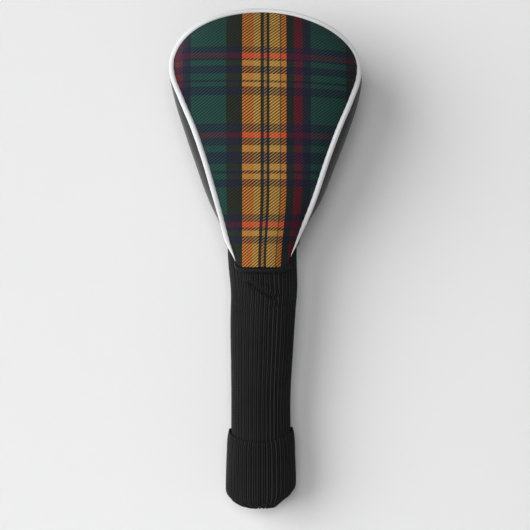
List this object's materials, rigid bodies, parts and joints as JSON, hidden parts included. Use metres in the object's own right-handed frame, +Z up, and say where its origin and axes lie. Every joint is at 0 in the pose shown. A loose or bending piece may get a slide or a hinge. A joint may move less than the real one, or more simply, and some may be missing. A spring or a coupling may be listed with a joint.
{
  "type": "driver head cover",
  "caption": "Padded golf driver head cover: tartan crown panel with white piping, black side panels and a rib-knit sock with a doubled, gathered cuff.",
  "frame": {"origin": "on the axis of the sock, in the plane of its gathered mouth, where the club's shaft comes out", "axes": "+Z up the sock towards the toe end of the head, -Y the way the crown panel faces, +X to the right seen from the front"},
  "size_m": [0.1288, 0.078, 0.3369],
  "materials": {
    "tartan_cloth": "printed twill",
    "black_cloth": "coated cloth with a slight sheen",
    "padding": "open-cell wadding",
    "fleece": "soft pile",
    "piping": "smooth coated cloth",
    "binding": "plain tape",
    "rib_knit": "rib knit",
    "elastic": "covered elastic"
  },
  "bodies": {
    "head": {"crown_panel": "tartan_cloth", "left_side_panel": "black_cloth", "right_side_panel": "black_cloth", "crown_foam": "padding", "left_side_foam": "padding", "right_side_foam": "padding", "crown_lining": "fleece", "left_side_lining": "fleece", "right_side_lining": "fleece", "piping_cover": "piping", "piping_cord": "padding", "crown_hem": "binding", "back_seam_tape": "binding", "neck_tape": "binding", "sock_collar": "rib_knit", "sock_neck": "rib_knit"},
    "sock": {"sock_tube": "rib_knit"},
    "cuff": {"sock_cuff": "rib_knit", "cuff_facing": "rib_knit", "cuff_elastic": "elastic"}
  },
  "joints": [
    {"name": "neck_bend", "type": "hinge", "parent": "head", "child": "sock", "pos_m": [-0.0008, 0, 0.134], "axis": [1, 0, 0], "range_deg": [-60, 60], "deforming": ["sock_neck"]},
    {"name": "sock_gather", "type": "slide", "parent": "sock", "child": "cuff", "axis": [0, 0, 1], "range_m": [0, 0.026]}
  ]
}
